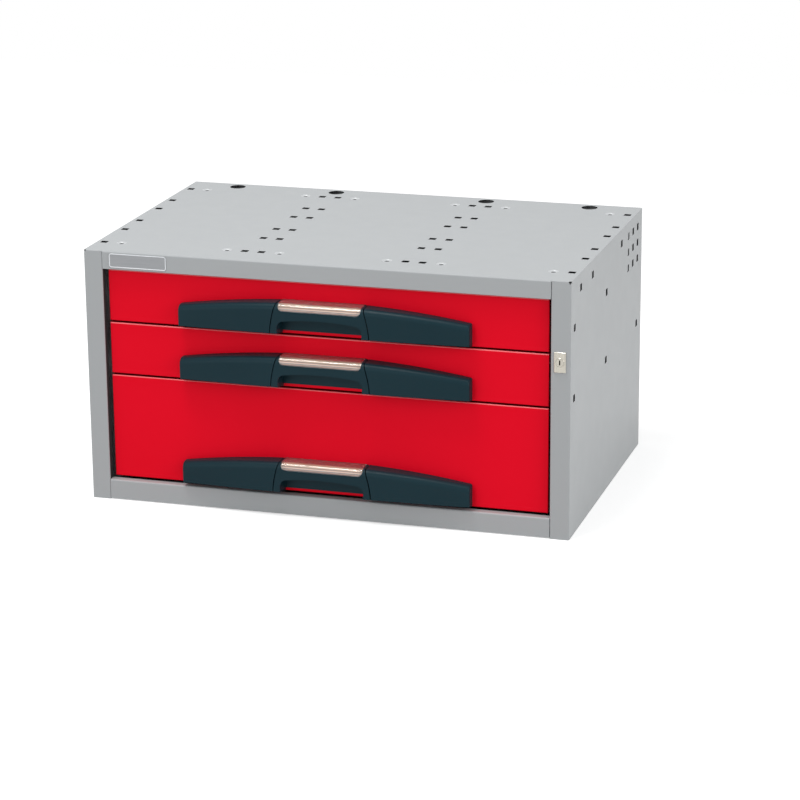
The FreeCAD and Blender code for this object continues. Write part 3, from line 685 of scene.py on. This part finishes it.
for drawerName in drawerNames:
    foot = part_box(drawerName + "_handle_bridge")[0].z
    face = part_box(drawerName + "_handle_bridge")[1].y
    for side in (-1.0, 1.0):
        makeHandleCover(drawerName, side, foot, face)
    makeHandleBridge(drawerName, foot, face)
    window = makeLabelPiece("ClearWindow", labelWindow, drawerName, "_label_window", 0.0,
                            labelShape["windowWall"], foot, face)
    softened(window, labelShape["softEdge"])
    makeLabelPiece("LabelStrip", labelStrip, drawerName, "_label_strip",
                   labelShape["windowWall"] + labelShape["gap"], labelShape["stripWall"], foot, face)
print("handles and labels made")


# Drawer fronts: copies of the solids with the round bends of folded sheet at their borders; the upward-facing bends
# are painted a lighter, glossier red as a painted highlight, and the flat returns a dark red as painted shade in the
# gaps between drawers

frontShape = {
    "bendRadius": 0.0011,
    "bendSteps": 3,
    "flatAngle": 1.0,
}


def makeDrawerFront(drawerName):
    node = drawerName + "_drawer_front"
    bm = copiedFrom(node)
    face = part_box(node)[0].y
    bmesh.ops.dissolve_limit(bm, angle_limit=math.radians(frontShape["flatAngle"]), verts=bm.verts, edges=bm.edges)
    bm.normal_update()
    border = [edge for edge in bm.edges
              if all(abs(vert.co.y - face) < 1e-5 for vert in edge.verts) and edge.calc_face_angle(0.0) > 1.0]
    bmesh.ops.bevel(bm, geom=border, affect="EDGES", offset=frontShape["bendRadius"],
                    segments=frontShape["bendSteps"], profile=0.5, material=-1)
    bm.normal_update()
    # Faces across the sheet take the dark red of painted gap shade; upward-facing bends take the lighter red of a
    # painted highlight.
    for flat in bm.faces:
        if abs(flat.normal.y) < 0.1:
            flat.material_index = 2
        elif flat.normal.z > 0.2:
            flat.material_index = 1
    front = placed(bm, drawerName + "PaintedFront", drawerPaint, drawerName + "_drawer", [node])
    front.data.materials.append(bendHighlightPaint)
    front.data.materials.append(gapShadePaint)
    smoothed(front.data)
    evened = front.modifiers.new("evenShading", "WEIGHTED_NORMAL")
    evened.keep_sharp = True


for drawerName in drawerNames:
    makeDrawerFront(drawerName)
print("drawer fronts made")


# Case panels: copies of the solids with the punched hole walls painted near black as painted shade, the hook holes
# at their full width, and the inner faces of the stile returns painted dark grey as painted shade

def holeWalls(bm, axis, level):
    depth = panelShape["sheet"] + panelShape["margin"]
    walls = {flat for flat in bm.faces
             if abs(flat.normal[axis]) < 0.1 and all(abs(vert.co[axis] - level) < depth for vert in flat.verts)}
    groups = []
    while walls:
        waiting = [walls.pop()]
        group = []
        while waiting:
            flat = waiting.pop()
            group.append(flat)
            for edge in flat.edges:
                for other in edge.link_faces:
                    if other in walls:
                        walls.remove(other)
                        waiting.append(other)
        corners = list({vert for flat in group for vert in flat.verts})
        reach = [max(vert.co[way] for vert in corners) - min(vert.co[way] for vert in corners) for way in range(3)]
        if max(reach) < panelShape["largestHole"]:
            groups.append((group, corners))
    return groups


# Hole walls take the near-black hole paint as painted shade; the eight-cornered hook holes are widened.
def shadeAndWidenHoles(bm, axis, level):
    bm.normal_update()
    for group, corners in holeWalls(bm, axis, level):
        for flat in group:
            flat.material_index = 1
        if len(corners) == 8:
            middle = sum((vert.co for vert in corners), Vector()) / 8.0
            wider = Vector((panelShape["hookHoleGrowth"],) * 3)
            wider[axis] = 1.0
            bmesh.ops.scale(bm, vec=wider, verts=corners, space=Matrix.Translation(-middle))


# The inner faces of the stile returns take the dark grey of painted shade.
def shadeStileReturn(bm, side):
    low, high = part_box("right_side_panel")
    for flat in bm.faces:
        centre = flat.calc_center_median()
        inFrontOf = centre.y < low.y + panelShape["stileDepth"]
        if inFrontOf and side * flat.normal.x < -0.9 and abs(centre.x) < high.x - panelShape["sheet"] * 2.0:
            flat.material_index = 2


# The walls of the relief notches take the near-black hole paint: painted shade.
def reliefTool():
    low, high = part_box("top_panel")
    bm = bmesh.new()
    for side in (-1.0, 1.0):
        bmesh.ops.create_icosphere(bm, subdivisions=3, radius=panelShape["reliefRadius"],
                                   matrix=Matrix.Translation((side * high.x, low.y, high.z)))
    for flat in bm.faces:
        flat.material_index = 1
    return toolFrom(bm, "reliefTool")


def makePanel(name, node, levels, side=0.0):
    bm = copiedFrom(node)
    for axis, level in levels:
        shadeAndWidenHoles(bm, axis, level)
    if side:
        shadeStileReturn(bm, side)
    panel = placed(bm, name, casePaint, "case", [node])
    for finish in (holeShadePaint, returnShadePaint):
        panel.data.materials.append(finish)
    return panel


def finishPanel(panel):
    smoothed(panel.data)
    evened = panel.modifiers.new("evenShading", "WEIGHTED_NORMAL")
    evened.keep_sharp = True


def joiningPlaces():
    low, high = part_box("top_panel")
    half = high.x
    columns = (half - panelShape["joiningEdgeInset"], half / 3.0 + panelShape["joiningThirdOffset"],
               half / 3.0 - panelShape["joiningThirdOffset"])
    rows = (low.y + panelShape["joiningRowInset"], high.y - panelShape["joiningRowInset"])
    return [(side * x, y) for x in columns for side in (-1.0, 1.0) for y in rows]


def dishHoleTool(top):
    bm = bmesh.new()
    for x, y in joiningPlaces():
        bmesh.ops.create_cone(bm, cap_ends=True, segments=dishShape["steps"],
                              radius1=dishShape["radius"] + panelShape["margin"] / 5.0,
                              radius2=dishShape["radius"] + panelShape["margin"] / 5.0, depth=0.01,
                              matrix=Matrix.Translation((x, y, top)))
    return toolFrom(bm, "dishHoleTool")


# Joining holes of the top: each sits in a dish pressed into the sheet. The dish is painted a lighter, glossier grey
# than the case as a painted highlight, and its hole wall near black as painted shade.

def makeJoiningDishes(top):
    bm = bmesh.new()
    outer, inner, hole = dishShape["radius"], dishShape["floorRadius"], dishShape["holeRadius"]
    drop, wall = dishShape["drop"], panelShape["sheet"]
    section = [(outer, 0.0), (outer - dishShape["lip"], -0.08 * drop), (inner + dishShape["lip"], -0.90 * drop),
               (inner, -drop), (hole, -drop), (hole, -drop - wall), (inner, -drop - wall), (outer, -wall)]
    for x, y in joiningPlaces():
        spunRing(bm, [(x + reach, y, top + rise) for reach, rise in section], (x, y, top), (0.0, 0.0, 1.0),
                 dishShape["steps"])
    dishes = ridingPiece(bm, "joiningDishes", dishHighlightPaint, "case")
    dishes.data.materials.append(holeShadePaint)
    # The dish's hole wall takes the near-black hole paint: painted shade.
    for polygon in dishes.data.polygons:
        polygon.material_index = int(abs(polygon.normal.z) < 0.1)


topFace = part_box("top_panel")[1].z
topSheet = makePanel("topSheet", "top_panel", [(2, topFace)])
cutAway(topSheet, [dishHoleTool(topFace), reliefTool()])
finishPanel(topSheet)
makeJoiningDishes(topFace)
for word, side in (("left", -1.0), ("right", 1.0)):
    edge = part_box(word + "_side_panel")[1]
    sideSheet = makePanel(word + "SideSheet", word + "_side_panel",
                          [(0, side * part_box("right_side_panel")[1].x), (2, edge.z)], side)
    cutAway(sideSheet, [reliefTool()])
    finishPanel(sideSheet)
print("case panels made")


# Blank plate on the top rail: a satin field inside a raised rounded outline

plateShape = {
    "cornerRadius": 0.0034,
    "rim": 0.0002,
    "slope": 0.0002,
    "band": 0.0009,
    "height": 0.00020,
}


def makeBadgePlate():
    low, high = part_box("badge_plate")
    bm = bmesh.new()
    bmesh.ops.create_cube(bm, size=1.0)
    bmesh.ops.scale(bm, vec=high - low, verts=bm.verts)
    bmesh.ops.translate(bm, vec=(high + low) / 2.0, verts=bm.verts)
    corners = [edge for edge in bm.edges if abs((edge.verts[0].co - edge.verts[1].co).y) > 0.0005]
    bmesh.ops.bevel(bm, geom=corners, affect="EDGES", offset=plateShape["cornerRadius"], segments=6,
                    profile=0.5, material=-1)
    bm.normal_update()
    front = [flat for flat in bm.faces if flat.normal.y < -0.9]
    for width, rise, bright in ((plateShape["rim"], 0.0, 0), (plateShape["slope"], plateShape["height"], 1),
                                (plateShape["band"], 0.0, 1), (plateShape["slope"], -plateShape["height"], 1)):
        ring = bmesh.ops.inset_region(bm, faces=front, thickness=width, depth=rise, use_even_offset=True)
        for flat in ring["faces"]:
            flat.material_index = bright
    plate = placed(bm, "badgeField", badgeMetal, "case", ["badge_plate"])
    plate.data.materials.append(badgeRimMetal)
    softened(plate, 0.00012, 2, 25.0)


makeBadgePlate()


# Lock: the face plate with its raised collar, and the plug

lockShape = {
    "softEdge": 0.00045,
    "collarInner": 0.00535,
    "collarOuter": 0.0067,
    "collarHeight": 0.0005,
    "collarSteps": 48,
    "plugSoftEdge": 0.00025,
}


def makeLock():
    low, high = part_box("lock_cylinder")
    centre = (low + high) / 2.0
    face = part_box("lock_housing")[0].y
    housing = placed(copiedFrom("lock_housing"), "lockPlate", lockMetal, "case", ["lock_housing"])
    smoothed(housing.data)
    softened(housing, lockShape["softEdge"], 2, 50.0)
    plug = placed(copiedFrom("lock_cylinder"), "lockPlug", lockMetal, "lock_plug", ["lock_cylinder"])
    smoothed(plug.data)
    softened(plug, lockShape["plugSoftEdge"], 2, 50.0)
    bm = bmesh.new()
    inner, outer, rise = lockShape["collarInner"], lockShape["collarOuter"], lockShape["collarHeight"]
    section = [(inner, 0.0002), (inner, -rise), (outer - rise, -rise), (outer, 0.0002)]
    spunRing(bm, [(centre.x + reach, face + y, centre.z) for reach, y in section], (centre.x, face, centre.z),
             (0.0, 1.0, 0.0), lockShape["collarSteps"])
    ridingPiece(bm, "lockCollar", lockMetal, "case")


makeLock()
print("plate and lock made")


# Balls of the runners, held in the arms of their cages

ballShape = {
    "radius": 0.0021,
    "count": 9,
    "endInset": 0.010,
    "armReach": {"outer": 0.0045, "inner": 0.0020},
    "armInset": 0.0005,
    "smoothness": 2,
}


def makeBalls(drawerName, cage):
    low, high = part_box(drawerName + "_" + cage + "_ball_cages")
    first = low.y + ballShape["endInset"]
    run = high.y - ballShape["endInset"] - first
    reach = high.x - ballShape["armReach"][cage]
    bm = bmesh.new()
    for x in (-reach, reach):
        for z in (low.z + ballShape["armInset"], high.z - ballShape["armInset"]):
            for index in range(ballShape["count"]):
                spot = Matrix.Translation((x, first + run * index / (ballShape["count"] - 1), z))
                bmesh.ops.create_icosphere(bm, subdivisions=ballShape["smoothness"], radius=ballShape["radius"],
                                           matrix=spot)
    ridingPiece(bm, drawerName + cage.capitalize() + "Balls", runnerSteel, drawerName + "_" + cage + "_cages")


for drawerName in drawerNames:
    for cage in ("outer", "inner"):
        makeBalls(drawerName, cage)
print("balls made")


# Pale floor and a soft studio: a large softbox overhead, weak ones at the right and in front, an even dome

studio = {
    "floorSize": 6.0,
    "floorColour": (0.50, 0.50, 0.50),
    "seenFloorColour": (0.88, 0.88, 0.88),
    "seenFloorGlow": 0.49,
    "domeStrength": 0.50,
    "keyPower": 38.0,
    "keySize": 1.0,
    "keyPlace": (-0.5, -0.7, 3.0),
    "fillPower": 28.0,
    "fillSize": 2.0,
    "fillPlace": (3.0, -1.1, 1.3),
    "frontPower": 26.0,
    "frontSize": 2.4,
    "frontPlace": (-1.6, -3.6, 1.6),
}


def seenDirectly(tree):
    rays = tree.nodes.new("ShaderNodeLightPath")
    direct = None
    for kind in ("Is Camera Ray", "Is Glossy Ray", "Is Transmission Ray"):
        if direct is None:
            direct = rays.outputs[kind]
            continue
        highest = tree.nodes.new("ShaderNodeMath")
        highest.operation = "MAXIMUM"
        tree.links.new(direct, highest.inputs[0])
        tree.links.new(rays.outputs[kind], highest.inputs[1])
        direct = highest.outputs["Value"]
    return direct


def makeFloor():
    bpy.ops.mesh.primitive_plane_add(size=studio["floorSize"], location=(0.0, 0.0, -0.0002))
    floor = bpy.context.object
    floor.name = "studioFloor"
    material = bpy.data.materials.new("studioFloor")
    material.use_nodes = True
    tree = material.node_tree
    tree.nodes.remove(tree.nodes["Principled BSDF"])
    plain = tree.nodes.new("ShaderNodeBsdfDiffuse")
    plain.inputs["Color"].default_value = (*studio["floorColour"], 1.0)
    seen = tree.nodes.new("ShaderNodeBsdfDiffuse")
    seen.inputs["Color"].default_value = (*studio["seenFloorColour"], 1.0)
    glow = tree.nodes.new("ShaderNodeEmission")
    glow.inputs["Strength"].default_value = studio["seenFloorGlow"]
    lifted = tree.nodes.new("ShaderNodeAddShader")
    tree.links.new(seen.outputs["BSDF"], lifted.inputs[0])
    tree.links.new(glow.outputs["Emission"], lifted.inputs[1])
    mix = tree.nodes.new("ShaderNodeMixShader")
    tree.links.new(seenDirectly(tree), mix.inputs["Fac"])
    tree.links.new(plain.outputs["BSDF"], mix.inputs[1])
    tree.links.new(lifted.outputs["Shader"], mix.inputs[2])
    tree.links.new(mix.outputs["Shader"], tree.nodes["Material Output"].inputs["Surface"])
    floor.data.materials.append(material)


def makeSoftbox(name, place, size, power, aim=(0.0, 0.0, 0.15)):
    light = bpy.data.lights.new(name, "AREA")
    light.shape = "SQUARE"
    light.size = size
    light.energy = power
    lamp = bpy.data.objects.new(name, light)
    bpy.context.collection.objects.link(lamp)
    lamp.location = place
    lamp.rotation_euler = (Vector(aim) - Vector(place)).to_track_quat("-Z", "Y").to_euler()


def makeDome():
    world = bpy.data.worlds.new("studioDome")
    bpy.context.scene.world = world
    world.use_nodes = True
    tree = world.node_tree
    dome = tree.nodes["Background"]
    dome.inputs["Color"].default_value = (1.0, 1.0, 1.0, 1.0)
    dome.inputs["Strength"].default_value = studio["domeStrength"]
    white = tree.nodes.new("ShaderNodeBackground")
    white.inputs["Strength"].default_value = 1.0
    white.inputs["Color"].default_value = (1.0, 1.0, 1.0, 1.0)
    mix = tree.nodes.new("ShaderNodeMixShader")
    tree.links.new(seenDirectly(tree), mix.inputs["Fac"])
    tree.links.new(dome.outputs["Background"], mix.inputs[1])
    tree.links.new(white.outputs["Background"], mix.inputs[2])
    tree.links.new(mix.outputs["Shader"], tree.nodes["World Output"].inputs["Surface"])


makeFloor()
makeDome()
makeSoftbox("keySoftbox", studio["keyPlace"], studio["keySize"], studio["keyPower"])
makeSoftbox("fillSoftbox", studio["fillPlace"], studio["fillSize"], studio["fillPower"])
makeSoftbox("frontSoftbox", studio["frontPlace"], studio["frontSize"], studio["frontPower"])
print("studio set")


# Camera at the photograph's angle: right of the front, a little above

photoView = {
    "azimuth": 16.75,
    "elevation": 16.90,
    "roll": -0.46,
    "distance": 4.2504,
    "lens": 131.3,
    "target": (0.0427, 0.009, 0.1106),
}


def placeCamera():
    azimuth = math.radians(photoView["azimuth"])
    elevation = math.radians(photoView["elevation"])
    back = Vector((math.sin(azimuth) * math.cos(elevation), -math.cos(azimuth) * math.cos(elevation),
                   math.sin(elevation)))
    right = Vector((0.0, 0.0, 1.0)).cross(back).normalized()
    up = back.cross(right)
    turn = math.radians(photoView["roll"])
    rolledRight = right * math.cos(turn) + up * math.sin(turn)
    rolledUp = up * math.cos(turn) - right * math.sin(turn)
    data = bpy.data.cameras.new("photoCamera")
    data.lens = photoView["lens"]
    data.sensor_width = 36.0
    data.clip_end = 50.0
    camera = bpy.data.objects.new("photoCamera", data)
    bpy.context.collection.objects.link(camera)
    basis = Matrix((rolledRight, rolledUp, back)).transposed().to_4x4()
    camera.matrix_world = Matrix.Translation(Vector(photoView["target"]) + back * photoView["distance"]) @ basis
    bpy.context.scene.camera = camera


placeCamera()
bpy.context.scene.view_settings.view_transform = "Standard"
print("camera placed")
